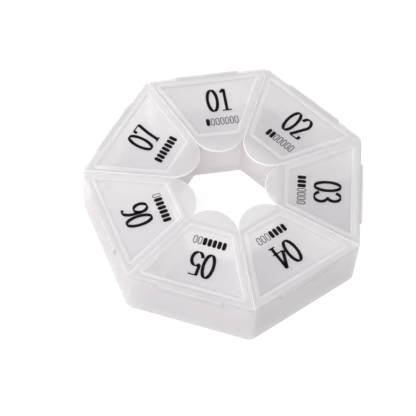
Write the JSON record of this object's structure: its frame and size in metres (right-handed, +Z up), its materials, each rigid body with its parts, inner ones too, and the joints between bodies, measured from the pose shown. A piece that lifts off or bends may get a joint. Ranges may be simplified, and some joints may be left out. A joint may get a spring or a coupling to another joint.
{
  "type": "pill organizer",
  "caption": "Ring-shaped seven-sided pill box in frosted plastic, with compartments round an open finger hole and a flip-up lid with a finger tab over each",
  "frame": {"origin": "On the surface that the tray stands on, under the middle of the box round the whole part", "axes": "+Z is up, out of the lids. -Y is the middle of a flat side, and +Y the corner opposite it. X runs from side to side"},
  "size_m": [0.1066, 0.1048, 0.0239],
  "materials": {
    "tray_plastic": "frosted translucent polypropylene",
    "lid_plastic": "frosted translucent polypropylene, thin panel",
    "hinge_plastic": "frosted translucent polypropylene, thin flexible strip"
  },
  "bodies": {
    "tray": {"tray": "tray_plastic", "hinge_strip_1": "hinge_plastic", "hinge_strip_2": "hinge_plastic", "hinge_strip_3": "hinge_plastic", "hinge_strip_4": "hinge_plastic", "hinge_strip_5": "hinge_plastic", "hinge_strip_6": "hinge_plastic", "hinge_strip_7": "hinge_plastic"},
    "lid_1": {"lid_1": "lid_plastic"},
    "lid_2": {"lid_2": "lid_plastic"},
    "lid_3": {"lid_3": "lid_plastic"},
    "lid_4": {"lid_4": "lid_plastic"},
    "lid_5": {"lid_5": "lid_plastic"},
    "lid_6": {"lid_6": "lid_plastic"},
    "lid_7": {"lid_7": "lid_plastic"}
  },
  "joints": [
    {"name": "lid_1_hinge", "type": "hinge", "parent": "tray", "child": "lid_1", "pos_m": [-0.02191, 0.0434, 0.0229], "axis": [-0.901, -0.4339, 0], "range_deg": [0, 180], "deforming": ["hinge_strip_1"]},
    {"name": "lid_2_hinge", "type": "hinge", "parent": "tray", "child": "lid_2", "pos_m": [0.02191, 0.0434, 0.0229], "axis": [-0.901, 0.4339, 0], "range_deg": [0, 180], "deforming": ["hinge_strip_2"]},
    {"name": "lid_3_hinge", "type": "hinge", "parent": "tray", "child": "lid_3", "pos_m": [0.04923, 0.00914, 0.0229], "axis": [-0.2225, 0.9749, 0], "range_deg": [0, 180], "deforming": ["hinge_strip_3"]},
    {"name": "lid_4_hinge", "type": "hinge", "parent": "tray", "child": "lid_4", "pos_m": [0.03948, -0.03358, 0.0229], "axis": [0.6235, 0.7818, 0], "range_deg": [0, 180], "deforming": ["hinge_strip_4"]},
    {"name": "lid_5_hinge", "type": "hinge", "parent": "tray", "child": "lid_5", "pos_m": [0, -0.0526, 0.0229], "axis": [1, 0, 0], "range_deg": [0, 180], "deforming": ["hinge_strip_5"]},
    {"name": "lid_6_hinge", "type": "hinge", "parent": "tray", "child": "lid_6", "pos_m": [-0.03948, -0.03358, 0.0229], "axis": [0.6235, -0.7818, 0], "range_deg": [0, 180], "deforming": ["hinge_strip_6"]},
    {"name": "lid_7_hinge", "type": "hinge", "parent": "tray", "child": "lid_7", "pos_m": [-0.04923, 0.00914, 0.0229], "axis": [-0.2225, -0.9749, 0], "range_deg": [0, 180], "deforming": ["hinge_strip_7"]}
  ]
}
